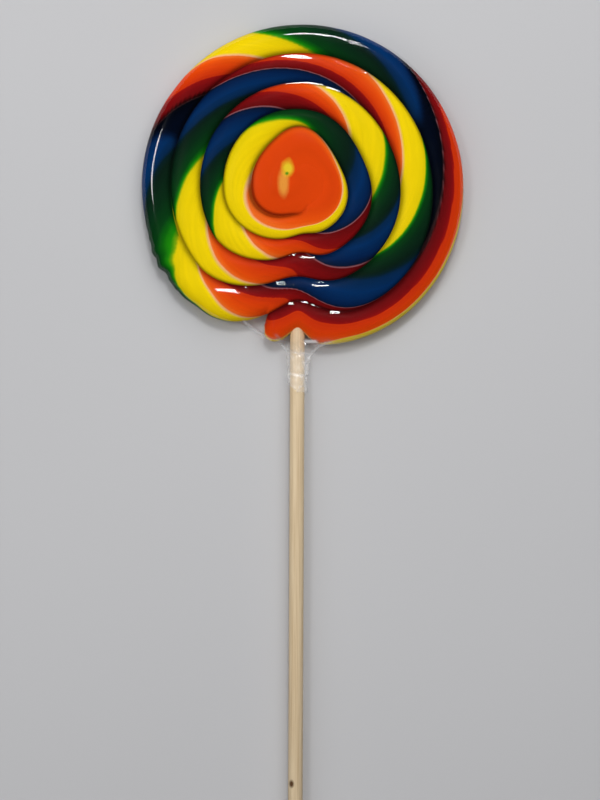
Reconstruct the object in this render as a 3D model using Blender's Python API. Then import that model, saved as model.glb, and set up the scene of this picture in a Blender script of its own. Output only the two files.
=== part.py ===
"""Swirl lollipop lying on its back, with a clear wrapper and a round wooden stick.

A boiled sugar rope is coiled flat, about five and a half turns from the tail over the stick
to the hooked end in the middle.  The rope's turns keep their own grooves on both faces.
A thin clear wrapper bridges the grooves and ends in a short neck round the stick.
The origin is under the middle of the disc, on the surface that it lies on; the stick
runs along -Y, the disc's shown face is +Z.
"""
import math

import bmesh
import bpy

MM = 0.001

# Wrapper, in millimetres
FILM_WALL = 0.3
FILM_GAP = 0.5
FILM_SHOULDER = 5.6
FILM_SEGMENTS = 64
FILM_RIM_RINGS = 4
WEB_DIP = 2.0
WEB_DIP_AT = 338.0
WEB_DIP_WIDTH = 10.0

# Candy disc
CANDY_THICK = 10.0
TOP_GROOVE = 1.5
BACK_GROOVE = 0.7
RIDGE_ROUNDNESS = 0.62
COLUMNS_TOP = (0.0, 0.07, 0.24, 0.5, 0.76, 0.93, 1.0)
COLUMNS_BACK = (0.0, 0.14, 0.5, 0.86, 1.0)

# The coil: one entry a turn, from the rim to the middle, in millimetres and degrees.
# Angles run from the stick's side counter-clockwise, seen from the shown face.
TURN_RADIUS = (66.5, 54.3, 42.2, 32.6, 21.1, 8.5)
STEP_BEFORE_STICK = (19.8, 30.1, 35.0, 35.9, 30.1)
STEP_WIDTH = (37.4, 45.3, 54.6, 95.0, 95.0)
STICK_DIP = (7.4, 4.2, 3.7, 1.2, -1.9)
SWELL = (1.9, 2.4, -0.1, -2.1, -0.2)
WAIST = (0.2, 1.6, 2.7, 5.7, 4.0)
SHOULDER = (0.2, 0.0, 0.1, -0.8, 3.3)
STICK_DIP_WIDTH = 14.9
SWELL_AT = 36.8
SWELL_WIDTH = 38.7
WAIST_AT = 116.7
WAIST_WIDTH = 45.3
SHOULDER_AT = 182.9
SHOULDER_WIDTH = 26.3
ROWS_PER_TURN = 64
ROWS = 356
FIRST_ROW = -23.0
ROW_BUNCHING = 20.0
CORE_X = -5.8
CORE_Y = 1.2

# The rope's outer end, a blunt round tail that lies over the stick and parts at it
TAIL_DIP = 0.8
TAIL_DIP_WIDTH = 18.0
NOTCH_DEPTH = 7.6
NOTCH_AT = -1.8
NOTCH_WIDTH = 5.1
TAIL_CORNER = 6.0
TAIL_ROUNDING = (0.55, 0.86, 0.97)

# Stick
STICK_RADIUS = 3.0
STICK_X = -2.1
STICK_LEAN = 0.0044
STICK_DROP = 0.3
STICK_TOP_Y = -34.5
STICK_END_Y = -288.5
STICK_CHAMFER = 0.35
STICK_SIDES = 24
BORE_GAP = 0.35

# Wrapper's neck: stations from inside the disc to the open end
NECK_Y = (-50.0, -58.0, -62.5, -65.5, -68.0, -71.5, -76.5, -81.0, -85.6)
NECK_LEFT = (-23.0, -20.5, -15.8, -10.2, -7.6, -6.7, -6.5, -6.3, -6.2)
NECK_RIGHT = (19.0, 17.5, 14.5, 9.8, 6.0, 3.7, 2.6, 2.1, 2.0)
NECK_HALF_HEIGHT = (4.3, 4.3, 4.3, 4.3, 4.3, 4.2, 4.1, 4.1, 4.1)
NECK_SIDES = 24

CANDY_BACK_Z = FILM_WALL + FILM_GAP
MIDDLE_Z = CANDY_BACK_Z + CANDY_THICK / 2
STICK_Z = MIDDLE_Z - STICK_DROP
FILM_TOP_Z = CANDY_BACK_Z + CANDY_THICK + FILM_GAP + FILM_WALL


def bump(angle, centre, width):
    return math.exp(-((angle - centre) / width) ** 2)


def ramp(t):
    t = min(1.0, max(0.0, t))
    return t * t * (3.0 - 2.0 * t)


def groove_radius(angle):
    """Radius of the rope's outer edge, angle counted on through all the turns."""
    radius = TURN_RADIUS[0]
    for turn in range(len(STEP_WIDTH)):
        start = 360.0 * (turn + 1) - STEP_BEFORE_STICK[turn] - STEP_WIDTH[turn] / 2
        step = TURN_RADIUS[turn + 1] - TURN_RADIUS[turn]
        radius += step * ramp((angle - start) / STEP_WIDTH[turn])
        radius -= STICK_DIP[turn] * bump(angle, 360.0 * (turn + 1) - 2.0, STICK_DIP_WIDTH)
        radius += SWELL[turn] * bump(angle, 360.0 * turn + SWELL_AT, SWELL_WIDTH)
        radius -= WAIST[turn] * bump(angle, 360.0 * turn + WAIST_AT, WAIST_WIDTH)
        radius += SHOULDER[turn] * bump(angle, 360.0 * turn + SHOULDER_AT, SHOULDER_WIDTH)
    return radius


def rope_edge(row):
    """Angle and radius of the rope's outer edge at a mesh row."""
    even = FIRST_ROW + 360.0 * row / ROWS_PER_TURN
    angle = even - ROW_BUNCHING * math.sin(math.radians(even))
    radius = groove_radius(angle)
    if row <= ROWS_PER_TURN:
        radius -= TAIL_DIP * bump(angle, 0.0, TAIL_DIP_WIDTH)
        radius -= NOTCH_DEPTH * bump(angle, NOTCH_AT, NOTCH_WIDTH)
        first_angle = FIRST_ROW - ROW_BUNCHING * math.sin(math.radians(FIRST_ROW))
        from_end = math.radians(angle - first_angle) * TURN_RADIUS[0] / TAIL_CORNER
        if from_end < 1.0:
            radius -= TAIL_CORNER * (1.0 - math.sqrt(1.0 - (1.0 - from_end) ** 2))
        if row < ROWS_PER_TURN:
            radius -= FILM_GAP + FILM_WALL
    return angle, radius


def on_disc(angle, radius):
    a = math.radians(angle)
    return radius * math.sin(a), -radius * math.cos(a)


def ridge_height(row, s, inner_share, groove):
    """Height over the middle plane, s running 0 to 1 across the rope."""
    ridge = CANDY_THICK / 2
    round_side = ridge * math.sqrt(max(0.0, 1.0 - (1.0 - 2.0 * s) ** 2))
    if row == 0:
        return TAIL_ROUNDING[0] * round_side
    if row <= ROWS_PER_TURN and s < 0.5:
        height = round_side
    else:
        wave = math.sin(math.pi * s * (1.0 - 0.5 * inner_share))
        height = ridge - groove * (1.0 - max(0.0, wave) ** RIDGE_ROUNDNESS)
    if row < len(TAIL_ROUNDING):
        height *= TAIL_ROUNDING[row]
    return height


def candy_side(mesh, rim, columns, groove, side):
    """One face of the coil, side +1 for the shown face and -1 for the back."""
    last = len(columns) - 1
    grid = {}
    for row in range(ROWS, -1, -1):
        angle, radius = rope_edge(row)
        x0, y0 = on_disc(angle, radius)
        past = row + ROWS_PER_TURN - ROWS
        if past <= 0:
            inner = grid[row + ROWS_PER_TURN][0]
            share = 0.0
        elif row < ROWS:
            inner = grid[ROWS][min(last, past)]
            share = columns[min(last, past)]
        else:
            z = MIDDLE_Z + side * CANDY_THICK / 2
            inner = mesh.verts.new((CORE_X * MM, CORE_Y * MM, z * MM))
            share = 1.0
        x1 = inner.co.x / MM
        y1 = inner.co.y / MM
        line = []
        for column in range(last):
            s = columns[column]
            if column == 0 and row <= ROWS_PER_TURN:
                line.append(rim[row])
                continue
            z = MIDDLE_Z + side * ridge_height(row, s, share, groove)
            x = x0 + (x1 - x0) * s
            y = y0 + (y1 - y0) * s
            line.append(mesh.verts.new((x * MM, y * MM, z * MM)))
        line.append(inner)
        grid[row] = line
    for row in range(ROWS):
        for column in range(last):
            loop = [grid[row][column], grid[row + 1][column]]
            loop.append(grid[row + 1][column + 1])
            if grid[row][column + 1] is not grid[row + 1][column + 1]:
                loop.append(grid[row][column + 1])
            if side < 0:
                loop.reverse()
            mesh.faces.new(loop)
    return grid[0]


def make_candy():
    mesh = bmesh.new()
    rim = []
    for row in range(ROWS_PER_TURN + 1):
        angle, radius = rope_edge(row)
        if row == ROWS_PER_TURN:
            radius = groove_radius(angle)
        x, y = on_disc(angle, radius)
        rim.append(mesh.verts.new((x * MM, y * MM, MIDDLE_Z * MM)))
    top = candy_side(mesh, rim, COLUMNS_TOP, TOP_GROOVE, 1)
    back = candy_side(mesh, rim, COLUMNS_BACK, BACK_GROOVE, -1)
    mesh.faces.new(top + back[-2:0:-1])
    return new_object("candy", mesh)


def new_object(name, mesh):
    bmesh.ops.recalc_face_normals(mesh, faces=mesh.faces)
    data = bpy.data.meshes.new(name)
    mesh.to_mesh(data)
    mesh.free()
    thing = bpy.data.objects.new(name, data)
    bpy.context.scene.collection.objects.link(thing)
    data.shade_smooth()
    data.set_sharp_from_angle(angle=math.radians(40))
    return thing


def helper(thing):
    thing.hide_render = True
    thing.display_type = "WIRE"
    return thing


def cut(target, tool, operation):
    modifier = target.modifiers.new(operation.lower(), "BOOLEAN")
    modifier.operation = operation
    modifier.solver = "EXACT"
    modifier.object = tool


def close_tube(mesh, rings):
    """Skin a list of vertex rings and cap both ends."""
    for first, second in zip(rings, rings[1:]):
        count = len(first)
        for k in range(count):
            following = (k + 1) % count
            mesh.faces.new((first[k], second[k], second[following], first[following]))
    mesh.faces.new(rings[0])
    mesh.faces.new(rings[-1][::-1])


def rod(name, radius, start_y, end_y, chamfer):
    mesh = bmesh.new()
    rings = []
    stations = ((start_y, chamfer), (start_y - chamfer, 0.0), (end_y + chamfer, 0.0), (end_y, chamfer))
    if chamfer == 0.0:
        stations = ((start_y, 0.0), (end_y, 0.0))
    for y, inset in stations:
        ring = []
        for k in range(STICK_SIDES):
            a = 2 * math.pi * (k + 0.5) / STICK_SIDES
            x = STICK_X + STICK_LEAN * (y + 60.0) + (radius - inset) * math.cos(a)
            z = STICK_Z + (radius - inset) * math.sin(a)
            ring.append(mesh.verts.new((x * MM, y * MM, z * MM)))
        rings.append(ring)
    close_tube(mesh, rings)
    return new_object(name, mesh)


def film_radius(angle):
    """The wrapper's outline seen from above, without the neck."""
    radius = TURN_RADIUS[0]
    for turn in (0, 360):
        radius += SWELL[0] * bump(angle, SWELL_AT + turn, SWELL_WIDTH)
        radius -= WEB_DIP * bump(angle, WEB_DIP_AT - turn, WEB_DIP_WIDTH)
    return radius


def film_disc(name, inset):
    """The flat pouch over the disc, its surface moved in by inset."""
    mesh = bmesh.new()
    half = (FILM_TOP_Z / 2) - inset
    rings = []
    profile = [(-FILM_SHOULDER * 5, 1.0)]
    for k in range(FILM_RIM_RINGS, -1, -1):
        a = math.pi / 2 * k / FILM_RIM_RINGS
        across = (FILM_SHOULDER - inset) * (math.cos(a) - 1.0)
        profile.append((across, math.sin(a)))
    profile += [(across, -rise) for across, rise in profile[-2::-1]]
    for across, rise in profile:
        ring = []
        for k in range(FILM_SEGMENTS):
            angle = 360.0 * k / FILM_SEGMENTS
            x, y = on_disc(angle, film_radius(angle) - inset + across)
            z = FILM_TOP_Z / 2 + rise * half
            ring.append(mesh.verts.new((x * MM, y * MM, z * MM)))
        rings.append(ring)
    close_tube(mesh, rings)
    return new_object(name, mesh)


def film_neck(name, inset, past_end):
    """The flared sleeve from the disc to the open end round the stick."""
    mesh = bmesh.new()
    rings = []
    stations = list(zip(NECK_Y, NECK_LEFT, NECK_RIGHT, NECK_HALF_HEIGHT))
    if past_end:
        y, left, right, high = stations[-1]
        stations.append((y - past_end, left, right, high))
    for y, left, right, high in stations:
        middle = (left + right) / 2
        half = (right - left) / 2 - inset
        ring = []
        for k in range(NECK_SIDES):
            a = 2 * math.pi * k / NECK_SIDES
            x = middle + half * math.cos(a)
            z = STICK_Z + (high - inset) * math.sin(a)
            ring.append(mesh.verts.new((x * MM, y * MM, z * MM)))
        rings.append(ring)
    close_tube(mesh, rings)
    return new_object(name, mesh)


def make_film():
    film = film_disc("film", 0.0)
    cut(film, helper(film_neck("neck_outside", 0.0, 0.0)), "UNION")
    cut(film, helper(film_disc("pouch_inside", FILM_WALL)), "DIFFERENCE")
    cut(film, helper(film_neck("neck_inside", FILM_WALL, 1.0)), "DIFFERENCE")
    return film


def paint(thing, name, colour, roughness):
    material = bpy.data.materials.new(name)
    material.use_nodes = True
    shader = material.node_tree.nodes["Principled BSDF"]
    shader.inputs["Base Color"].default_value = (*colour, 1.0)
    shader.inputs["Roughness"].default_value = roughness
    shader.inputs["Metallic"].default_value = 0.0
    material.diffuse_color = (*colour, 1.0)
    thing.data.materials.append(material)


for old in list(bpy.data.objects):
    bpy.data.objects.remove(old, do_unlink=True)

candy = make_candy()
bore = rod("bore", STICK_RADIUS + BORE_GAP, STICK_TOP_Y + BORE_GAP, -80.0, 0.0)
cut(candy, helper(bore), "DIFFERENCE")
stick = rod("stick", STICK_RADIUS, STICK_TOP_Y, STICK_END_Y, STICK_CHAMFER)
film = make_film()

paint(candy, "boiled_sugar", (0.80, 0.16, 0.02), 0.12)
paint(stick, "bare_wood", (0.60, 0.44, 0.27), 0.6)
paint(film, "clear_film", (0.92, 0.93, 0.95), 0.08)
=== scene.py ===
import math

import bpy
import numpy as np
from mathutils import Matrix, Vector, noise


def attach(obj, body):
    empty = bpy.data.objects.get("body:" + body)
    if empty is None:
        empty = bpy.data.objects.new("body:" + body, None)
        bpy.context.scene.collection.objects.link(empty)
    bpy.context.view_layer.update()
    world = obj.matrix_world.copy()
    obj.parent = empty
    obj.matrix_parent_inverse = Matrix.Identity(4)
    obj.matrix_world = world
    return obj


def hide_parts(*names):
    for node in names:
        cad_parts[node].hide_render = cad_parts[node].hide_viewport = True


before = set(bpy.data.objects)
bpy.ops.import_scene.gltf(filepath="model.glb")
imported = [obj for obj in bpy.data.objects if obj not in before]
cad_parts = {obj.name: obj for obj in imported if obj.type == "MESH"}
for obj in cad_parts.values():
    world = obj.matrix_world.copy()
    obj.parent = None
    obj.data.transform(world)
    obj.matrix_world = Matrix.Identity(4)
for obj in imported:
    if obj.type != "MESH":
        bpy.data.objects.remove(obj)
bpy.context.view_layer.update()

bpy.ops.object.select_all(action="DESELECT")

# The candy disc: one rope of boiled sugar, pulled and twisted from five coloured strands
# while hot, coiled flat from its tail over the stick to the hooked end in the middle.
# The turns have fused, so the piece is one body with a groove between each turn and the next.

# sizes of the coil in millimetres and degrees, one entry a turn, as in the solid
turn_radius = (66.5, 54.3, 42.2, 32.6, 21.1, 8.5)
step_before_stick = (19.8, 30.1, 35.0, 35.9, 30.1)
step_width = (37.4, 45.3, 54.6, 95.0, 95.0)
stick_dip = (7.4, 4.2, 3.7, 1.2, -1.9)
swell = (1.9, 2.4, -0.1, -2.1, -0.2)
waist = (0.2, 1.6, 2.7, 5.7, 4.0)
shoulder = (0.2, 0.0, 0.1, -0.8, 3.3)
# where each of these forms lies on its turn, and how wide it is
dip_before, dip_width = 2.0, 14.9
swell_at, swell_width = 36.8, 38.7
waist_at, waist_width = 116.7, 45.3
shoulder_at, shoulder_width = 182.9, 26.3
rows_per_turn = 240
rope_rows = 1335
first_row = -23.0
row_bunching = 20.0
core_x, core_y = -5.8, 1.2
candy_middle = 5.8
candy_half = 5.25
top_groove = 1.75
back_groove = 0.8
groove_sharpness = 0.52
candy_skin = 0.12
rim_inset = 0.22
# the notch beside the tail is a little shallower than in the solid
notch_depth, notch_at, notch_width = 6.4, -1.8, 5.1
tail_dip, tail_dip_width = 0.8, 18.0
tail_round = 6.0
groove_ends = 1768.0

# where each strand comes up at the rope's outer side, where it goes under at the inner
# side (degrees along the coil), and how its edge bends; orange, red, blue, green, yellow
strand_starts = (
    (90, -1500, 1.6), (121, -200, 2.1), (139, 63, 1.25), (171, 126, 1.0), (199, 176, 1.1),
    (219, 198, 1.0), (240, 213, 0.9), (253, 227, 0.85), (285, 254, 0.6), (309, 292, 1.0), (344, 308, 0.7),
    (353, 319, 2.0), (414, 338, 0.35), (420, 384, 0.95), (473, 407, 0.8), (510, 452, 1.05),
    (565, 474, 1.1), (584, 504, 1.15), (612, 567, 1.35), (648, 614, 0.77), (700, 652, 0.83),
    (716, 686, 1.8), (764, 724, 0.75), (808, 761, 0.87), (844, 800, 0.9), (895, 857, 1.0),
    (926, 876, 1.1), (950, 914, 1.0), (988, 957, 1.0), (1023, 988, 0.9), (1061, 1026, 1.1),
    (1111, 1060, 0.9), (1167, 1096, 0.85), (1212, 1178, 0.7), (1312, 1252, 0.75),
    (1545, 1338, 1.0),
)
core_rim = 0.27
strand_colours = 5.0


def bump(angle, centre, width):
    """A smooth hill of height one."""
    return np.exp(-((angle - centre) / width) ** 2)


def ramp(t):
    """A smooth step from nought to one."""
    t = np.clip(t, 0.0, 1.0)
    return t * t * (3.0 - 2.0 * t)


def groove_radius(angle):
    """How far the coil's groove lies from the middle, in millimetres, along the coil."""
    radius = np.full(np.shape(angle), turn_radius[0])
    for turn in range(5):
        begins = 360.0 * (turn + 1) - step_before_stick[turn] - step_width[turn] / 2
        step = turn_radius[turn + 1] - turn_radius[turn]
        radius = radius + step * ramp((angle - begins) / step_width[turn])
        radius = radius - stick_dip[turn] * bump(angle, 360.0 * (turn + 1) - dip_before, dip_width)
        radius = radius + swell[turn] * bump(angle, 360.0 * turn + swell_at, swell_width)
        radius = radius - waist[turn] * bump(angle, 360.0 * turn + waist_at, waist_width)
        radius = radius + shoulder[turn] * bump(angle, 360.0 * turn + shoulder_at, shoulder_width)
    return radius


def rim_wobble(angle):
    """How far the rim stands back from its even line, in millimetres; knobs stand out."""
    wobble = np.array([noise.noise(Vector((0.11 * a, 3.7, 0.2))) for a in np.ravel(angle)])
    knobs = np.array([noise.noise(Vector((0.3 * a, 8.1, 0.6))) for a in np.ravel(angle)])
    wobble, knobs = wobble.reshape(np.shape(angle)), knobs.reshape(np.shape(angle))
    uneven = 0.1 + 0.1 * bump(angle, 303.0, 17.0) + 0.2 * bump(angle, 232.0, 14.0)
    stands_out = bump(angle, 301.0, 14.0) * (1.75 + 1.4 * knobs)
    return np.clip(0.3 + wobble, 0.0, 1.0) * uneven - stands_out


def strand_phase(angle, across):
    """Counts the strands passed on the way in along the rope, with the fraction."""
    lines = []
    for outer, inner, bend in strand_starts:
        lines.append(outer - (outer - inner) * np.clip(across, 0.0, 1.0) ** bend)
    lines[0] = lines[0] - 85.0 * ramp((18.0 - angle) / 14.0)
    lines[5] = lines[5] + 10.0 * np.exp(-across / 0.08)
    lines[9] = lines[9] + 26.0 * np.exp(-across / 0.06) - 12.0 * np.exp(-((1.0 - across) / 0.03) ** 2)
    rim = np.clip(across / core_rim, 0.0, 1.0)
    past_rim = np.clip((across - core_rim) / (1.0 - core_rim), 0.0, 1.0)
    lines[-1] = 1600.0 - 100.0 * rim - 162.0 * past_rim ** 0.35
    lines = np.maximum.accumulate(np.array(lines) + 3.0 * np.arange(len(lines))[:, None], axis=0)
    lines = lines - 3.0 * np.arange(len(lines))[:, None]
    before = np.vstack([lines[:1] - 90.0, lines])
    after = np.vstack([lines, lines[-1:] + 250.0])
    passed = (angle[None, :] >= lines).sum(axis=0)
    pick = np.arange(angle.size)
    low, high = before[passed, pick], after[passed, pick]
    least = np.where(passed == 0, 0.3, 0.0)
    most = np.where(passed == len(lines), 0.5, 1.0)
    share = np.clip((angle - low) / (high - low), least, most)
    bright_patch = np.where(passed == 9, 1.0 - 0.6 * bump(angle, 292.0, 13.0), 1.0)
    return passed - 2 + share ** bright_patch


def rope_side(name, columns, groove, side):
    """One face of the coil as a grid, wound up row by row; side is +1 shown, -1 back."""
    bpy.ops.mesh.primitive_grid_add(x_subdivisions=rope_rows, y_subdivisions=columns, size=1.0)
    sheet = bpy.context.object
    sheet.name = name
    count = len(sheet.data.vertices)
    place = np.empty(count * 3)
    sheet.data.vertices.foreach_get("co", place)
    place = place.reshape(-1, 3)
    row = np.rint((place[:, 0] + 0.5) * rope_rows).astype(int)
    column = np.rint((place[:, 1] + 0.5) * columns).astype(int)

    even = first_row + 360.0 * np.arange(rope_rows + 1) / rows_per_turn
    angle = even - row_bunching * np.sin(np.radians(even))
    radius = groove_radius(angle)
    first_turn = np.arange(rope_rows + 1) <= rows_per_turn
    arc = np.radians(angle - angle[0]) * turn_radius[0]
    end = np.clip(arc / tail_round, 0.0, 1.0)
    tail = tail_dip * bump(angle, 0.0, tail_dip_width) + notch_depth * bump(angle, notch_at, notch_width)
    tail = tail + tail_round * (1.0 - np.sqrt(1.0 - (1.0 - end) ** 2))
    tail = tail + shoulder[0] * bump(angle, shoulder_at, shoulder_width)
    radius = radius - np.where(first_turn, tail + rim_inset + rim_wobble(angle), 0.0)
    radius[rows_per_turn] += rim_inset
    edge_x = radius * np.sin(np.radians(angle))
    edge_y = -radius * np.cos(np.radians(angle))

    t = np.arange(columns + 1) / columns
    spread = t - 0.1 * np.sin(2 * np.pi * t)
    past = np.arange(rope_rows + 1) + rows_per_turn - rope_rows
    slot = np.clip(past, 0, columns)
    slot[rope_rows] = columns
    share = np.where(past > 0, spread[slot], 0.0)
    end_x = edge_x[-1] + (core_x - edge_x[-1]) * spread[slot]
    end_y = edge_y[-1] + (core_y - edge_y[-1]) * spread[slot]
    turn_in = np.minimum(np.arange(rope_rows + 1) + rows_per_turn, rope_rows)
    inner_x = np.where(past > 0, end_x, edge_x[turn_in])
    inner_y = np.where(past > 0, end_y, edge_y[turn_in])

    s = spread[column]
    wave = np.clip(np.sin(np.pi * s * (1.0 - 0.5 * share[row])), 0.0, 1.0)
    x = edge_x[row] + (inner_x[row] - edge_x[row]) * s
    y = edge_y[row] + (inner_y[row] - edge_y[row]) * s
    lumps = 0.07 * np.sin(0.31 * x + 0.13 * y + 2.0) + 0.05 * np.sin(0.52 * y - 0.21 * x)
    nearest_groove = angle[row] + np.where(s > 0.5, 360.0, 0.0)
    faded = 1.0 - ramp((nearest_groove - groove_ends) / 55.0)
    depth = groove * (0.1 + 0.9 * faded)
    height = candy_half - depth * (1.0 - wave ** groove_sharpness) + lumps * wave - candy_skin
    round_side = candy_half * np.sqrt(np.clip(1.0 - (1.0 - 2.0 * s) ** 2, 0.0, 1.0))
    at_rim = (row <= rows_per_turn) & (s < 0.5)
    height = np.where(at_rim, round_side * (candy_half - candy_skin + lumps) / candy_half, height)
    blunt = np.sqrt(1.0 - (1.0 - np.clip(arc[row] / 5.0, 0.0, 1.0)) ** 2)
    blunt = blunt + (1.0 - blunt) * ramp(2.0 * s - 1.0)
    height = np.where(row == 0, 0.0, height * blunt)
    z = candy_middle + side * height
    sheet.data.vertices.foreach_set("co", (np.column_stack([x, y, z]) * 0.001).ravel())

    corner = np.empty(len(sheet.data.loops), dtype=np.int32)
    sheet.data.loops.foreach_get("vertex_index", corner)
    phase = strand_phase(angle[row], s)
    twist = sheet.data.uv_layers[0]
    twist.name = "strands"
    twist.data.foreach_set("uv", np.column_stack([phase[corner], s[corner]]).ravel())
    # painted shade: the colour is darkened along both edges of each groove, where shade falls between the
    # turns, and more in the groove at the hooked end
    outer_groove_shade = np.where(row <= rows_per_turn, 0.0, np.exp(-(s / 0.06) ** 2))
    inner_groove_shade = np.exp(-((1.0 - s) / 0.12) ** 2) * (1.0 - share[row])
    hooked_end_shade = 1.0 + 0.9 * bump(nearest_groove, 1742.0, 42.0)
    outer_groove_shade, inner_groove_shade = outer_groove_shade * faded * hooked_end_shade, inner_groove_shade * faded * hooked_end_shade
    # painted shade: a near-black band where the red strand gives way to the blue on the outer turns, standing
    # in for the blue strand's shade
    shade_and_rim_light = np.zeros(len(s))
    for red_ends, dark_before in ((1.0, 0.09), (6.0, 0.28)):
        past_red = phase - red_ends
        dark = ramp((0.84 * s + 0.2 - past_red) / 0.24) * ramp(2.0 * (past_red + dark_before) / dark_before)
        shade_and_rim_light = np.maximum(shade_and_rim_light, dark)
    # painted light: the outer turn is made brighter towards the rim, most on the blue and green, as if lit
    # from the window; elsewhere the strands rest at a plain level of 0.37
    dye = np.mod(phase, strand_colours)
    painted_rim_light = np.where(row <= rows_per_turn, np.clip(1.0 - s / 0.5, 0.0, 1.0), 0.0)
    painted_rim_light = painted_rim_light * np.where((dye > 1.0) & (dye < 2.6), 0.34, 0.1)
    painted_rim_light = np.where((dye > 2.6) & (dye < 4.1), 0.0, painted_rim_light)
    shade_and_rim_light = np.maximum(shade_and_rim_light, 0.37 - painted_rim_light)
    # the shades map carries the painted groove shade in X, and the painted strand shade and rim light in Y
    shades = sheet.data.uv_layers.new(name="shades")
    shades.data.foreach_set("uv", np.column_stack([(outer_groove_shade + inner_groove_shade)[corner], shade_and_rim_light[corner]]).ravel())
    if side < 0:
        bpy.ops.object.mode_set(mode="EDIT")
        bpy.ops.mesh.select_all(action="SELECT")
        bpy.ops.mesh.flip_normals()
        bpy.ops.object.mode_set(mode="OBJECT")
    sheet.data.update()
    return sheet


# both faces have the same columns, so that they meet point for point at the rim and the tail
rope_columns = 24
candy_back = rope_side("candy_back", rope_columns, back_groove, -1)
candy_coil = rope_side("candy_coil", rope_columns, top_groove, 1)
bpy.ops.object.select_all(action="DESELECT")
candy_back.select_set(True)
candy_coil.select_set(True)
bpy.context.view_layer.objects.active = candy_coil
bpy.ops.object.join()
bpy.ops.object.mode_set(mode="EDIT")
bpy.ops.mesh.select_all(action="SELECT")
bpy.ops.mesh.remove_doubles(threshold=0.000002)
bpy.ops.object.mode_set(mode="OBJECT")
bpy.ops.object.shade_smooth()

sugar = bpy.data.materials.new("boiled_sugar")
sugar.use_nodes = True
nodes, links = sugar.node_tree.nodes, sugar.node_tree.links
shader = nodes["Principled BSDF"]
shader.inputs["Roughness"].default_value = 0.3
shader.inputs["Specular IOR Level"].default_value = 0.015

strands_uv = nodes.new("ShaderNodeUVMap")
strands_uv.uv_map = "strands"
split = nodes.new("ShaderNodeSeparateXYZ")
links.new(strands_uv.outputs["UV"], split.inputs[0])

wander = nodes.new("ShaderNodeTexNoise")
wander.inputs["Scale"].default_value = 160.0
wander.inputs["Detail"].default_value = 3.0
coords = nodes.new("ShaderNodeTexCoord")
links.new(coords.outputs["Object"], wander.inputs["Vector"])
centred = nodes.new("ShaderNodeMath")
centred.operation = "SUBTRACT"
centred.inputs[1].default_value = 0.5
links.new(wander.outputs["Fac"], centred.inputs[0])
wavy = nodes.new("ShaderNodeMath")
wavy.operation = "MULTIPLY_ADD"
wavy.inputs[1].default_value = 0.05
links.new(centred.outputs[0], wavy.inputs[0])
links.new(split.outputs["X"], wavy.inputs[2])
cycle = nodes.new("ShaderNodeMath")
cycle.operation = "FLOORED_MODULO"
cycle.inputs[1].default_value = strand_colours
links.new(wavy.outputs[0], cycle.inputs[0])
fifth = nodes.new("ShaderNodeMath")
fifth.operation = "DIVIDE"
fifth.inputs[1].default_value = strand_colours
links.new(cycle.outputs[0], fifth.inputs[0])


def linear(r, g, b):
    """A colour named by its screen values, as the shader wants it."""
    out = []
    for v in (r, g, b):
        v = v / 255.0
        out.append(v / 12.92 if v <= 0.04045 else ((v + 0.055) / 1.055) ** 2.4)
    return (*out, 1.0)


dyes = nodes.new("ShaderNodeValToRGB")
dye_stops = (
    (0.000, (196, 44, 12)), (0.008, (142, 18, 14)), (0.060, (124, 13, 15)), (0.188, (96, 10, 13)),
    (0.1965, (150, 92, 98)), (0.2045, (8, 20, 42)), (0.245, (3, 30, 70)), (0.330, (3, 43, 90)),
    (0.385, (5, 37, 72)), (0.402, (6, 30, 34)), (0.425, (8, 30, 20)), (0.500, (7, 43, 20)),
    (0.560, (6, 60, 18)), (0.577, (10, 94, 12)), (0.590, (30, 136, 8)), (0.597, (112, 158, 10)),
    (0.602, (200, 190, 12)), (0.608, (226, 200, 7)),
    (0.660, (236, 206, 7)), (0.780, (240, 208, 8)), (0.791, (240, 190, 96)), (0.800, (238, 178, 128)),
    (0.808, (233, 108, 34)), (0.840, (229, 83, 12)), (0.880, (219, 70, 10)),
    (0.930, (212, 61, 9)), (0.985, (197, 50, 11)),
)
band = dyes.color_ramp
band.interpolation = "LINEAR"
while len(band.elements) > 1:
    band.elements.remove(band.elements[-1])
band.elements[0].position = dye_stops[0][0]
band.elements[0].color = linear(*dye_stops[0][1])
for position, colour in dye_stops[1:]:
    stop = band.elements.new(position)
    stop.color = linear(*colour)
links.new(fifth.outputs[0], dyes.inputs["Fac"])

streaks = nodes.new("ShaderNodeTexNoise")
streaks.inputs["Scale"].default_value = 9.0
streaks.inputs["Detail"].default_value = 4.0
stretch = nodes.new("ShaderNodeMapping")
stretch.inputs["Scale"].default_value = (1.0, 0.15, 1.0)
links.new(strands_uv.outputs["UV"], stretch.inputs["Vector"])
links.new(stretch.outputs[0], streaks.inputs["Vector"])
tone = nodes.new("ShaderNodeMapRange")
tone.inputs["From Min"].default_value = 0.3
tone.inputs["From Max"].default_value = 0.7
tone.inputs["To Min"].default_value = 0.94
tone.inputs["To Max"].default_value = 1.05
links.new(streaks.outputs["Fac"], tone.inputs["Value"])
shaded = nodes.new("ShaderNodeMix")
shaded.data_type = "RGBA"
shaded.blend_type = "MULTIPLY"
shaded.inputs["Factor"].default_value = 1.0
links.new(dyes.outputs["Color"], shaded.inputs["A"])
links.new(tone.outputs["Result"], shaded.inputs["B"])

# painted shade and light from the shades map: X darkens the colour in the grooves, and Y darkens it after the
# red strand and brightens the outer turn towards the rim
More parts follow.
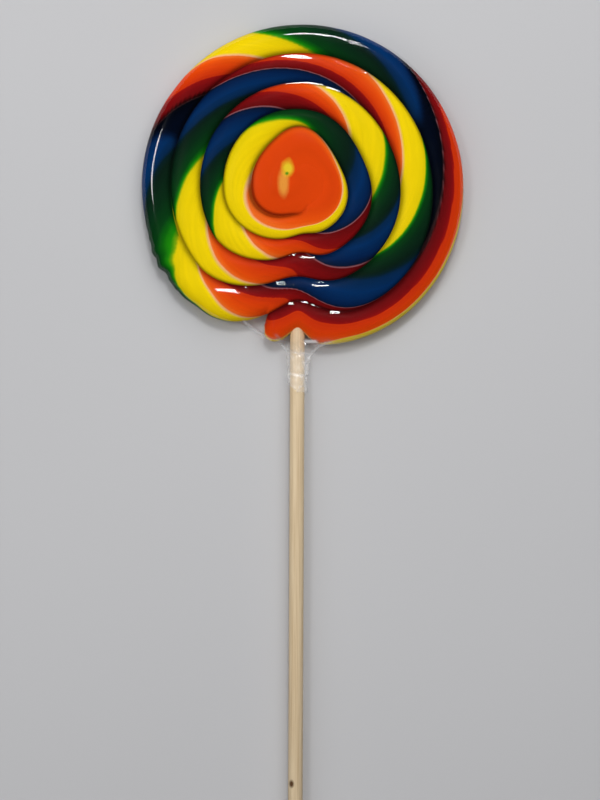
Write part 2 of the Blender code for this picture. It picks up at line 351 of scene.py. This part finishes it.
shades_uv = nodes.new("ShaderNodeUVMap")
shades_uv.uv_map = "shades"
shade_split = nodes.new("ShaderNodeSeparateXYZ")
links.new(shades_uv.outputs["UV"], shade_split.inputs[0])
deepened = shaded
for channel, lightest, darkest in (("X", 1.0, 0.38), ("Y", 1.6, 0.1)):
    shade = nodes.new("ShaderNodeMapRange")
    shade.inputs["To Min"].default_value = lightest
    shade.inputs["To Max"].default_value = darkest
    links.new(shade_split.outputs[channel], shade.inputs["Value"])
    layer = nodes.new("ShaderNodeMix")
    layer.data_type = "RGBA"
    layer.blend_type = "MULTIPLY"
    layer.inputs["Factor"].default_value = 1.0
    links.new(deepened.outputs["Result"], layer.inputs["A"])
    links.new(shade.outputs["Result"], layer.inputs["B"])
    deepened = layer
for centre, size, colour in (
    ((-7.8, 0.4), (2.5, 5.8), (232, 152, 60)), ((-6.0, 6.6), (2.6, 3.6), (232, 200, 44)),
    ((-6.4, 4.4), (0.8, 0.8), (90, 150, 30)),
):
    around = nodes.new("ShaderNodeMapping")
    around.vector_type = "TEXTURE"
    around.inputs["Location"].default_value = (centre[0] * 0.001, centre[1] * 0.001, 0.011)
    around.inputs["Scale"].default_value = (size[0] * 0.001, size[1] * 0.001, 0.004)
    links.new(coords.outputs["Object"], around.inputs["Vector"])
    from_centre = nodes.new("ShaderNodeVectorMath")
    from_centre.operation = "LENGTH"
    links.new(around.outputs[0], from_centre.inputs[0])
    ragged = nodes.new("ShaderNodeMath")
    ragged.operation = "MULTIPLY_ADD"
    ragged.inputs[1].default_value = 0.9
    links.new(centred.outputs[0], ragged.inputs[0])
    links.new(from_centre.outputs["Value"], ragged.inputs[2])
    spot = nodes.new("ShaderNodeMapRange")
    spot.inputs["From Min"].default_value = 1.2
    spot.inputs["From Max"].default_value = 0.45
    links.new(ragged.outputs[0], spot.inputs["Value"])
    layer = nodes.new("ShaderNodeMix")
    layer.data_type = "RGBA"
    layer.inputs["B"].default_value = linear(*colour)
    links.new(spot.outputs["Result"], layer.inputs["Factor"])
    links.new(deepened.outputs["Result"], layer.inputs["A"])
    deepened = layer
links.new(deepened.outputs["Result"], shader.inputs["Base Color"])

skin = nodes.new("ShaderNodeTexNoise")
skin.inputs["Scale"].default_value = 420.0
skin.inputs["Detail"].default_value = 3.0
links.new(coords.outputs["Object"], skin.inputs["Vector"])
dimple = nodes.new("ShaderNodeBump")
dimple.inputs["Strength"].default_value = 0.12
dimple.inputs["Distance"].default_value = 0.0004
links.new(skin.outputs["Fac"], dimple.inputs["Height"])
links.new(dimple.outputs["Normal"], shader.inputs["Normal"])
candy_coil.data.materials.clear()
candy_coil.data.materials.append(sugar)

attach(candy_coil, "root")
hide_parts("candy")

# The stick: a round dowel of pale bare wood, sawn square at its ends and pressed into the
# disc's edge while the sugar was soft.  Its grain runs lengthwise.
stick_radius = 0.003
stick_top = -0.0345
stick_end = -0.2885
stick_z = 0.0055
stick_x, stick_lean, lean_from = -0.0021, 0.0044, 0.06
end_bevel = 0.0003
bpy.ops.object.select_all(action="DESELECT")
bpy.ops.mesh.primitive_cylinder_add(
    vertices=64, radius=stick_radius, depth=stick_top - stick_end, end_fill_type="NGON",
    rotation=(math.pi / 2, 0.0, 0.0), location=(0.0, (stick_top + stick_end) / 2, stick_z),
)
stick = bpy.context.object
stick.name = "stick_dowel"
bpy.ops.object.transform_apply(location=True, rotation=True, scale=True)
bpy.ops.object.mode_set(mode="EDIT")
bpy.ops.mesh.select_mode(type="EDGE")
bpy.ops.mesh.select_all(action="DESELECT")
bpy.ops.object.mode_set(mode="OBJECT")
for edge in stick.data.edges:
    a, b = (stick.data.vertices[k].co for k in edge.vertices)
    edge.select = abs(a.y - b.y) < 0.001
bpy.ops.object.mode_set(mode="EDIT")
bpy.ops.mesh.bevel(offset=end_bevel, segments=2, affect="EDGES")
bpy.ops.object.mode_set(mode="OBJECT")
for point in stick.data.vertices:
    point.co.x += stick_x + stick_lean * (point.co.y + lean_from)
bpy.ops.object.shade_smooth_by_angle(angle=math.radians(30))

wood = bpy.data.materials.new("bare_wood")
wood.use_nodes = True
nodes, links = wood.node_tree.nodes, wood.node_tree.links
shader = nodes["Principled BSDF"]
shader.inputs["Roughness"].default_value = 0.62
coords = nodes.new("ShaderNodeTexCoord")
along_grain = nodes.new("ShaderNodeMapping")
along_grain.inputs["Scale"].default_value = (1.0, 0.02, 1.0)
links.new(coords.outputs["Object"], along_grain.inputs["Vector"])
fibres = nodes.new("ShaderNodeTexNoise")
fibres.inputs["Scale"].default_value = 1500.0
fibres.inputs["Detail"].default_value = 4.0
links.new(along_grain.outputs[0], fibres.inputs["Vector"])
wood_tone = nodes.new("ShaderNodeValToRGB")
wood_tone.color_ramp.elements[0].position = 0.3
wood_tone.color_ramp.elements[0].color = linear(206, 180, 142)
wood_tone.color_ramp.elements[1].position = 0.68
wood_tone.color_ramp.elements[1].color = linear(228, 206, 170)
links.new(fibres.outputs["Fac"], wood_tone.inputs["Fac"])
knot_place = nodes.new("ShaderNodeMapping")
knot_place.vector_type = "TEXTURE"
knot_place.inputs["Location"].default_value = (-0.0045, -0.2468, 0.0078)
knot_place.inputs["Scale"].default_value = (0.0011, 0.0017, 0.002)
links.new(coords.outputs["Object"], knot_place.inputs["Vector"])
knot_ring = nodes.new("ShaderNodeVectorMath")
knot_ring.operation = "LENGTH"
links.new(knot_place.outputs[0], knot_ring.inputs[0])
knot = nodes.new("ShaderNodeMapRange")
knot.inputs["From Min"].default_value = 1.2
knot.inputs["From Max"].default_value = 0.5
links.new(knot_ring.outputs["Value"], knot.inputs["Value"])
knotted = nodes.new("ShaderNodeMix")
knotted.data_type = "RGBA"
knotted.inputs["B"].default_value = linear(92, 62, 34)
links.new(knot.outputs["Result"], knotted.inputs["Factor"])
links.new(wood_tone.outputs["Color"], knotted.inputs["A"])
links.new(knotted.outputs["Result"], shader.inputs["Base Color"])
grain_bump = nodes.new("ShaderNodeBump")
grain_bump.inputs["Strength"].default_value = 0.35
grain_bump.inputs["Distance"].default_value = 0.0002
links.new(fibres.outputs["Fac"], grain_bump.inputs["Height"])
links.new(grain_bump.outputs["Normal"], shader.inputs["Normal"])
stick.data.materials.clear()
stick.data.materials.append(wood)

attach(stick, "root")
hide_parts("stick")

# The film: clear shrink film pulled tight over both faces of the disc, so that it bridges
# the grooves, and gathered into a short wrinkled neck that is open at its end round the stick.
film_middle = 5.8
film_half = 5.62
film_shoulder = 5.4
film_gap, knob_room = 0.08, 0.08
film_wall = 0.00006
film_highest = 0.01155
neck_end_y = -0.0805
film_rings = 124
film_steps = 300

bpy.ops.object.select_all(action="DESELECT")
bpy.ops.mesh.primitive_grid_add(x_subdivisions=film_steps, y_subdivisions=film_rings, size=1.0)
film = bpy.context.object
film.name = "film_wrap"
count = len(film.data.vertices)
place = np.empty(count * 3)
film.data.vertices.foreach_get("co", place)
place = place.reshape(-1, 3)
# the last column lies on the first, so that the shell closes over the stick
turned = np.mod(np.rint((place[:, 0] + 0.5) * film_steps), film_steps) * 360.0 / film_steps
ring = np.rint((place[:, 1] + 0.5) * film_rings)
tail_at = 337.0
outline = turn_radius[0] - film_gap - rim_wobble(np.where(turned > tail_at, turned - 360.0, turned))
outline = outline + knob_room * bump(turned, 303.0, 16.0)
for shift in (0.0, 360.0):
    outline = outline + swell[0] * bump(turned, swell_at + shift, swell_width)
    outline = outline - 2.0 * bump(turned, 338.0 - shift, 10.0)
flat_rings, shoulder_rings = 94, 22
tip = np.clip((ring - flat_rings) / shoulder_rings, 0.0, 1.0) * np.pi
flat = np.clip(ring / flat_rings, 0.0, 1.0)
under = np.clip((film_rings - ring) / (film_rings - flat_rings - shoulder_rings), 0.0, 1.0)
reach = outline - film_shoulder
far = np.where(ring <= flat_rings, reach * flat, reach + film_shoulder * np.sin(tip))
far = np.where(ring > flat_rings + shoulder_rings, reach * under, far)
rise = np.where(ring <= flat_rings, 1.0, np.cos(tip))
rise = np.where(ring > flat_rings + shoulder_rings, -1.0, rise)
# how far round the tail the film hangs free, and how deep it sinks into the grooves
free_at_tail = 16.0
sink, sink_over_stick = 0.2, 0.27
sag = np.zeros(count)
for turn in range(-1, 5):
    along = turned + 360.0 * turn
    outer = groove_radius(along)
    inner = groove_radius(along + 360.0)
    s = (outer - far) / np.maximum(outer - inner, 1.0)
    inside = (s >= 0.0) & (s < 1.0) & (along > -free_at_tail)
    dip = (1.0 - np.clip(np.sin(np.pi * s), 0.0, 1.0) ** 0.7) * ramp((along + free_at_tail) / 12.0)
    loose = np.array([noise.noise(Vector((0.035 * a, 5.0 * t, 1.3))) for a, t in zip(along, np.rint(s))])
    cling = 1.1 * bump(along, 546.0, 20.0) * (s < 0.5) * (1.0 + 1.2 * loose)
    quiet = 1.0 - 0.85 * bump(turned, 262.0, 42.0) - 0.8 * bump(along, 890.0, 32.0)
    sag = np.where(inside, dip * (np.clip(0.8 + 1.9 * loose, 0.1, 2.0) * quiet + cling), sag)
near_rim = np.clip((outline - 4.0 - far) / 4.0, 0.0, 1.0)
over_stick = bump(turned, 0.0, 22.0) + bump(turned, 360.0, 22.0)
shown_sink = np.where(rise > 0.5, sink + sink_over_stick * over_stick, 0.0)
sag = sag * near_rim * ramp((far - 14.0) / 12.0) * shown_sink
x = far * np.sin(np.radians(turned))
y = -far * np.cos(np.radians(turned))
z = film_middle + rise * film_half - sag
film.data.vertices.foreach_set("co", (np.column_stack([x, y, z]) * 0.001).ravel())
bpy.ops.object.mode_set(mode="EDIT")
bpy.ops.mesh.select_all(action="SELECT")
bpy.ops.mesh.remove_doubles(threshold=0.000005)
bpy.ops.mesh.normals_make_consistent(inside=False)
bpy.ops.object.mode_set(mode="OBJECT")

neck_y = (-50.0, -58.0, -62.5, -65.5, -68.0, -71.5, -76.5, -81.0, -85.5)
neck_left = (-23.0, -20.3, -15.6, -10.1, -7.5, -6.6, -6.4, -6.2, -6.1)
neck_right = (19.0, 17.3, 14.3, 9.7, 5.9, 3.6, 2.5, 2.0, 1.9)
neck_high_y, neck_high = (50.0, 66.0, 72.0, 86.0), (4.2, 4.2, 3.9, 3.8)
neck_middle = 5.5
neck_rows, neck_sides = 90, 72
bpy.ops.mesh.primitive_cylinder_add(vertices=neck_sides, radius=1.0, depth=2.0, end_fill_type="NGON")
neck = bpy.context.object
neck.name = "film_neck"
bpy.ops.object.mode_set(mode="EDIT")
bpy.ops.mesh.select_all(action="DESELECT")
bpy.ops.object.mode_set(mode="OBJECT")
for edge in neck.data.edges:
    a, b = (neck.data.vertices[k].co for k in edge.vertices)
    edge.select = abs(a.z - b.z) > 1.0
bpy.ops.object.mode_set(mode="EDIT")
bpy.ops.mesh.select_mode(type="EDGE")
bpy.ops.mesh.subdivide(number_cuts=neck_rows - 1, smoothness=0.0)
bpy.ops.object.mode_set(mode="OBJECT")
count = len(neck.data.vertices)
place = np.empty(count * 3)
neck.data.vertices.foreach_get("co", place)
place = place.reshape(-1, 3)
down = (1.0 - place[:, 2]) / 2.0
y = neck_y[0] + (neck_y[-1] - neck_y[0]) * down
left = np.interp(-y, -np.array(neck_y), neck_left)
right = np.interp(-y, -np.array(neck_y), neck_right)
high = np.interp(-y, neck_high_y, neck_high)
around = np.arctan2(place[:, 1], place[:, 0])
crease = 0.42 * bump(y, -69.6, 0.7) + 0.4 * bump(y + 0.8 * np.cos(around), -78.3, 0.6)
crease = crease + 0.3 * bump(y - 1.2 * np.cos(around), -74.0, 0.8)
shrink = 1.0 - crease / 4.0
x = (left + right) / 2 + (right - left) / 2 * shrink * np.cos(around)
z = neck_middle + high * shrink * np.sin(around)
slant = np.clip((-78.0 - y) / 7.5, 0.0, 1.0) * 3.6 * np.clip(-np.cos(around), 0.0, 1.0)
y = y + slant
neck.data.vertices.foreach_set("co", (np.column_stack([x, y, z]) * 0.001).ravel())
bpy.ops.object.mode_set(mode="EDIT")
bpy.ops.mesh.select_all(action="SELECT")
bpy.ops.mesh.normals_make_consistent(inside=False)
bpy.ops.object.mode_set(mode="OBJECT")

bpy.ops.object.select_all(action="DESELECT")
film.select_set(True)
bpy.context.view_layer.objects.active = film
weld = film.modifiers.new("weld", "BOOLEAN")
weld.operation = "UNION"
weld.solver = "EXACT"
weld.object = neck
bpy.ops.object.modifier_apply(modifier="weld")
bpy.data.objects.remove(neck, do_unlink=True)
bpy.ops.object.mode_set(mode="EDIT")
bpy.ops.mesh.select_mode(type="FACE")
bpy.ops.mesh.select_all(action="DESELECT")
bpy.ops.object.mode_set(mode="OBJECT")
for face in film.data.polygons:
    face.select = face.center.y < neck_end_y and face.normal.y < -0.4
bpy.ops.object.mode_set(mode="EDIT")
bpy.ops.mesh.delete(type="FACE")
bpy.ops.object.mode_set(mode="OBJECT")


def gathered_at(x, y):
    """How strongly the film is gathered into creases, 0 to 1, by place in millimetres."""
    at_neck = ramp((-60.0 - y) / 8.0)
    by_tail = 0.8 * np.exp(-((x + 6.0) / 24.0) ** 2 - ((y + 50.0) / 9.0) ** 2)
    far_rim = 0.6 * np.exp(-((np.hypot(x, y) - 62.5) / 3.0) ** 2 - ((x - 26.0) / 14.0) ** 2) * (y > 0.0)
    return np.clip(np.maximum(at_neck, by_tail) + far_rim, 0.0, 1.0)


# where the disc's film runs into the neck, it is smoothed
joint_low, joint_high, joint_side = -0.076, -0.058, 0.026
for point in film.data.vertices:
    point.select = joint_low < point.co.y < joint_high and abs(point.co.x) < joint_side
bpy.ops.object.mode_set(mode="EDIT")
bpy.ops.mesh.select_mode(type="VERT")
bpy.ops.mesh.vertices_smooth(factor=0.5, repeat=24)
bpy.ops.object.mode_set(mode="OBJECT")
# shallow valleys where the film is slack, most of them round the tail and two near the top:
# middle, slope, half length, half width and depth in millimetres
tension_folds = (
    (-30.6, -41.7, -0.08, 8.0, 2.8, 0.85), (-8.0, -39.6, 0.0, 5.5, 1.3, 0.5),
    (7.0, -39.9, -0.03, 4.5, 1.3, 0.45), (2.0, -29.1, -0.05, 5.0, 1.2, 0.4),
    (-6.0, -43.8, -0.2, 4.4, 0.95, 0.32), (-18.2, -46.5, -0.1, 3.4, 1.05, 0.34),
    (-4.3, -48.2, 0.0, 2.2, 1.1, 0.4), (13.0, -51.9, 0.1, 7.5, 1.0, 0.32),
    (-25.0, -49.2, 0.3, 2.2, 1.0, 0.3), (-54.6, -15.3, 0.15, 1.9, 0.9, 0.25),
    (1.0, 53.0, -0.1, 9.0, 1.3, 0.14), (20.0, 49.4, -0.42, 8.0, 1.3, 0.34),
)
deepest_push = 0.05
moves = {}
for point in film.data.vertices:
    x, y, z = point.co * 1000.0
    if z < film_middle and y > -66.0:
        continue
    valley = 0.0
    for fold_x, fold_y, tilt, half_length, half_width, depth in tension_folds:
        off_line = y - fold_y - tilt * (x - fold_x)
        if z > film_middle + 4.0 and abs(off_line) < 3.0 * half_width:
            valley += depth * math.exp(-(off_line / half_width) ** 2 - ((x - fold_x) / half_length) ** 4)
    gather = float(gathered_at(x, y))
    if gather < 0.03 and valley < 0.002:
        continue
    fold = noise.noise(Vector((0.26 * x, 0.5 * y, 0.3 * z)))
    fine = noise.noise(Vector((0.7 * x + 9.0, 0.9 * y, 0.7 * z)))
    ridge = 0.4 * max(1.0 - abs(fold) * 2.6, 0.0) ** 2 + 0.2 * fine
    if y < -62.0 and abs(x + 2.2) < 3.4:
        ridge = 0.2 + 0.6 * (ridge - 0.2)
    if y > -60.0:
        ridge = 0.2 + 0.5 * (ridge - 0.2)
    push = gather * (ridge - 0.2)
    if y > -66.0:
        push = max(push, -deepest_push)
    moves[point.index] = point.normal * (push * 0.001) - Vector((0.0, 0.0, valley * 0.001))
for index, move in moves.items():
    film.data.vertices[index].co += move
    film.data.vertices[index].co.z = min(film.data.vertices[index].co.z, film_highest)
wall = film.modifiers.new("wall", "SOLIDIFY")
wall.thickness = film_wall
wall.offset = -1.0
bpy.ops.object.modifier_apply(modifier="wall")
bpy.ops.object.shade_smooth()
count = len(film.data.vertices)
place = np.empty(count * 3)
film.data.vertices.foreach_get("co", place)
place = place.reshape(-1, 3) * 1000.0
gathers = film.data.attributes.new("gathers", "FLOAT", "POINT")
creased = gathered_at(place[:, 0], place[:, 1])
over_tail = (place[:, 1] > -58.0) & (place[:, 1] < 0.0)
gathers.data.foreach_set("value", np.where(over_tail, 0.4 * creased, creased))
# the film's pulled edges at the neck, seen whitish: both ends in millimetres, and how pale
pulled_edges = (
    (-24.1, -56.5, -16.7, -61.9, 0.8), (-16.7, -61.9, -12.6, -65.6, 1.0), (-12.6, -65.6, -8.5, -66.4, 1.0),
    (-8.5, -66.4, -6.8, -68.9, 0.9), (-6.8, -68.9, -6.6, -76.3, 0.8), (-6.6, -76.3, -5.6, -80.4, 0.7),
    (11.3, -64.4, 6.0, -66.8, 0.6), (6.0, -66.8, 3.1, -71.0, 0.9), (3.1, -71.0, 1.9, -78.4, 0.8),
    (1.9, -78.4, 1.4, -84.6, 0.8), (-6.0, -68.6, 3.2, -70.0, 0.5), (-6.0, -77.6, 1.9, -79.4, 0.5),
    (1.0, -64.6, 5.8, -64.7, 1.4), (-11.0, -62.0, -6.6, -66.6, 0.5), (-14.0, -66.0, -4.0, -71.0, 0.4),
)
pale = np.zeros(count)
for x0, y0, x1, y1, paleness in pulled_edges:
    along_edge = (place[:, 0] - x0) * (x1 - x0) + (place[:, 1] - y0) * (y1 - y0)
    along_edge = np.clip(along_edge / ((x1 - x0) ** 2 + (y1 - y0) ** 2), 0.0, 1.0)
    off_x = place[:, 0] - x0 - along_edge * (x1 - x0)
    off_y = place[:, 1] - y0 - along_edge * (y1 - y0)
    pale = np.maximum(pale, paleness * np.exp(-(off_x ** 2 + off_y ** 2) / 0.5))
edges = film.data.attributes.new("pulled_edges", "FLOAT", "POINT")
edges.data.foreach_set("value", pale)

clear = bpy.data.materials.new("clear_film")
clear.use_nodes = True
nodes, links = clear.node_tree.nodes, clear.node_tree.links
shader = nodes["Principled BSDF"]
shader.inputs["Base Color"].default_value = (0.93, 0.94, 0.95, 1.0)
coords = nodes.new("ShaderNodeTexCoord")
place_in = nodes.new("ShaderNodeSeparateXYZ")
links.new(coords.outputs["Object"], place_in.inputs[0])
gathered = nodes.new("ShaderNodeMapRange")
gathered.inputs["From Min"].default_value = -0.062
gathered.inputs["From Max"].default_value = -0.072
links.new(place_in.outputs["Y"], gathered.inputs["Value"])
creases_at = nodes.new("ShaderNodeAttribute")
creases_at.attribute_name = "gathers"
wrinkles = nodes.new("ShaderNodeTexNoise")
wrinkles.inputs["Scale"].default_value = 240.0
wrinkles.inputs["Detail"].default_value = 3.0
wrinkles.inputs["Distortion"].default_value = 0.8
links.new(coords.outputs["Object"], wrinkles.inputs["Vector"])
slack = nodes.new("ShaderNodeMapRange")
slack.inputs["To Min"].default_value = 0.035
slack.inputs["To Max"].default_value = 0.6
links.new(creases_at.outputs["Fac"], slack.inputs["Value"])
crumple = nodes.new("ShaderNodeMath")
crumple.operation = "MULTIPLY"
links.new(wrinkles.outputs["Fac"], crumple.inputs[0])
links.new(slack.outputs["Result"], crumple.inputs[1])
wrinkle_bump = nodes.new("ShaderNodeBump")
wrinkle_bump.inputs["Strength"].default_value = 0.6
wrinkle_bump.inputs["Distance"].default_value = 0.001
links.new(crumple.outputs[0], wrinkle_bump.inputs["Height"])
links.new(wrinkle_bump.outputs["Normal"], shader.inputs["Normal"])
clearness = nodes.new("ShaderNodeMapRange")
clearness.inputs["To Min"].default_value = 1.0
clearness.inputs["To Max"].default_value = 0.15
edges_at = nodes.new("ShaderNodeAttribute")
edges_at.attribute_name = "pulled_edges"
most_gathered = nodes.new("ShaderNodeMath")
most_gathered.operation = "MAXIMUM"
links.new(gathered.outputs["Result"], most_gathered.inputs[0])
links.new(edges_at.outputs["Fac"], most_gathered.inputs[1])
links.new(most_gathered.outputs[0], clearness.inputs["Value"])
links.new(clearness.outputs["Result"], shader.inputs["Metallic"])
dullness = nodes.new("ShaderNodeMapRange")
dullness.inputs["To Min"].default_value = 0.07
dullness.inputs["To Max"].default_value = 0.24
links.new(gathered.outputs["Result"], dullness.inputs["Value"])
links.new(dullness.outputs["Result"], shader.inputs["Roughness"])
edge_on = nodes.new("ShaderNodeFresnel")
edge_on.inputs["IOR"].default_value = 1.42
links.new(wrinkle_bump.outputs["Normal"], edge_on.inputs["Normal"])
at_edge = nodes.new("ShaderNodeMapRange")
at_edge.inputs["From Min"].default_value = 0.03
at_edge.inputs["From Max"].default_value = 0.6
at_edge.inputs["To Min"].default_value = 0.024
at_edge.inputs["To Max"].default_value = 0.028
links.new(edge_on.outputs[0], at_edge.inputs["Value"])
thicker = nodes.new("ShaderNodeMapRange")
thicker.inputs["To Min"].default_value = 1.0
thicker.inputs["To Max"].default_value = 3.5
links.new(gathered.outputs["Result"], thicker.inputs["Value"])
doubled = nodes.new("ShaderNodeMath")
doubled.operation = "MULTIPLY"
links.new(thicker.outputs["Result"], doubled.inputs[0])
links.new(at_edge.outputs["Result"], doubled.inputs[1])
folds = nodes.new("ShaderNodeTexNoise")
folds.inputs["Scale"].default_value = 75.0
folds.inputs["Detail"].default_value = 2.0
folds.inputs["Distortion"].default_value = 0.7
links.new(coords.outputs["Object"], folds.inputs["Vector"])
off_fold = nodes.new("ShaderNodeMath")
off_fold.operation = "SUBTRACT"
off_fold.inputs[1].default_value = 0.5
links.new(folds.outputs["Fac"], off_fold.inputs[0])
off_fold_size = nodes.new("ShaderNodeMath")
off_fold_size.operation = "ABSOLUTE"
links.new(off_fold.outputs[0], off_fold_size.inputs[0])
fold_line = nodes.new("ShaderNodeMapRange")
fold_line.inputs["From Max"].default_value = 0.06
fold_line.inputs["To Min"].default_value = 0.2
fold_line.inputs["To Max"].default_value = 0.04
links.new(off_fold_size.outputs[0], fold_line.inputs["Value"])
white_folds = nodes.new("ShaderNodeMath")
white_folds.operation = "MULTIPLY"
links.new(fold_line.outputs["Result"], white_folds.inputs[0])
links.new(gathered.outputs["Result"], white_folds.inputs[1])
haze = nodes.new("ShaderNodeMath")
haze.operation = "ADD"
haze.use_clamp = True
links.new(doubled.outputs[0], haze.inputs[0])
links.new(white_folds.outputs[0], haze.inputs[1])
whitened = nodes.new("ShaderNodeMath")
whitened.operation = "MULTIPLY_ADD"
whitened.use_clamp = True
whitened.inputs[1].default_value = 0.32
links.new(edges_at.outputs["Fac"], whitened.inputs[0])
links.new(haze.outputs[0], whitened.inputs[2])
see_through = nodes.new("ShaderNodeBsdfTransparent")
mixed = nodes.new("ShaderNodeMixShader")
links.new(whitened.outputs[0], mixed.inputs["Fac"])
links.new(see_through.outputs[0], mixed.inputs[1])
links.new(shader.outputs[0], mixed.inputs[2])
links.new(mixed.outputs[0], nodes["Material Output"].inputs["Surface"])
film.data.materials.clear()
film.data.materials.append(clear)

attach(film, "root")
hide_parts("film")
film.visible_shadow = False

# The floor, lights and camera: a pale plain floor, and a camera that looks straight down.
# Two small windows, beyond the disc and at its left, show in the gloss. Three broad soft
# lamps light the disc without showing in it.
bpy.ops.object.select_all(action="DESELECT")
bpy.ops.mesh.primitive_grid_add(x_subdivisions=8, y_subdivisions=8, size=4.0, location=(0.0, 0.0, 0.0))
floor = bpy.context.object
floor.name = "pale_floor"
paper = bpy.data.materials.new("pale_paper")
paper.use_nodes = True
nodes, links = paper.node_tree.nodes, paper.node_tree.links
shader = nodes["Principled BSDF"]
shader.inputs["Roughness"].default_value = 0.8
coords = nodes.new("ShaderNodeTexCoord")
cloudy = nodes.new("ShaderNodeTexNoise")
cloudy.inputs["Scale"].default_value = 3.0
links.new(coords.outputs["Object"], cloudy.inputs["Vector"])
pale = nodes.new("ShaderNodeValToRGB")
pale.color_ramp.elements[0].color = linear(192, 192, 194)
pale.color_ramp.elements[1].color = linear(202, 202, 204)
links.new(cloudy.outputs["Fac"], pale.inputs["Fac"])
links.new(pale.outputs["Color"], shader.inputs["Base Color"])
floor.data.materials.clear()
floor.data.materials.append(paper)

lamp_distance = 1.15
for name, azimuth, elevation, width, height, watts, in_gloss in (
    ("window", 174.0, 61.0, 0.2, 0.2, 3.4, True),
    ("side_window", 253.0, 63.0, 0.2, 0.26, 2.0, True),
    ("soft_window", 165.0, 45.0, 1.2, 1.0, 5.4, False),
    ("ceiling_wash", 120.0, 72.0, 1.2, 1.2, 4.7, False),
    ("far_wall", 300.0, 40.0, 1.2, 0.8, 3.0, False),
):
    lamp_data = bpy.data.lights.new(name, "AREA")
    lamp_data.shape = "RECTANGLE"
    lamp_data.size = width
    lamp_data.size_y = height
    lamp_data.energy = watts
    lamp = bpy.data.objects.new(name, lamp_data)
    bpy.context.scene.collection.objects.link(lamp)
    a, e = math.radians(azimuth), math.radians(elevation)
    away = Vector((math.sin(a) * math.cos(e), -math.cos(a) * math.cos(e), math.sin(e)))
    lamp.location = away * lamp_distance
    lamp.rotation_euler = away.to_track_quat("Z", "Y").to_euler()
    lamp.visible_glossy = in_gloss

world = bpy.data.worlds.new("room")
world.use_nodes = True
world.node_tree.nodes["Background"].inputs["Color"].default_value = (0.9, 0.92, 1.0, 1.0)
world.node_tree.nodes["Background"].inputs["Strength"].default_value = 0.02
bpy.context.scene.world = world

camera_height = 1.2
half_height_seen = 0.165
sensor = 36.0
camera_data = bpy.data.cameras.new("camera")
camera = bpy.data.objects.new("camera", camera_data)
bpy.context.scene.collection.objects.link(camera)
camera.location = (-0.00103, -0.0887, camera_height + 0.006)
camera_data.sensor_width = sensor
camera_data.lens = sensor / 2 / (half_height_seen / camera_height)
camera_data.clip_start = 0.05
camera_data.clip_end = 20.0
bpy.context.scene.camera = camera
bpy.context.scene.view_settings.view_transform = "Standard"
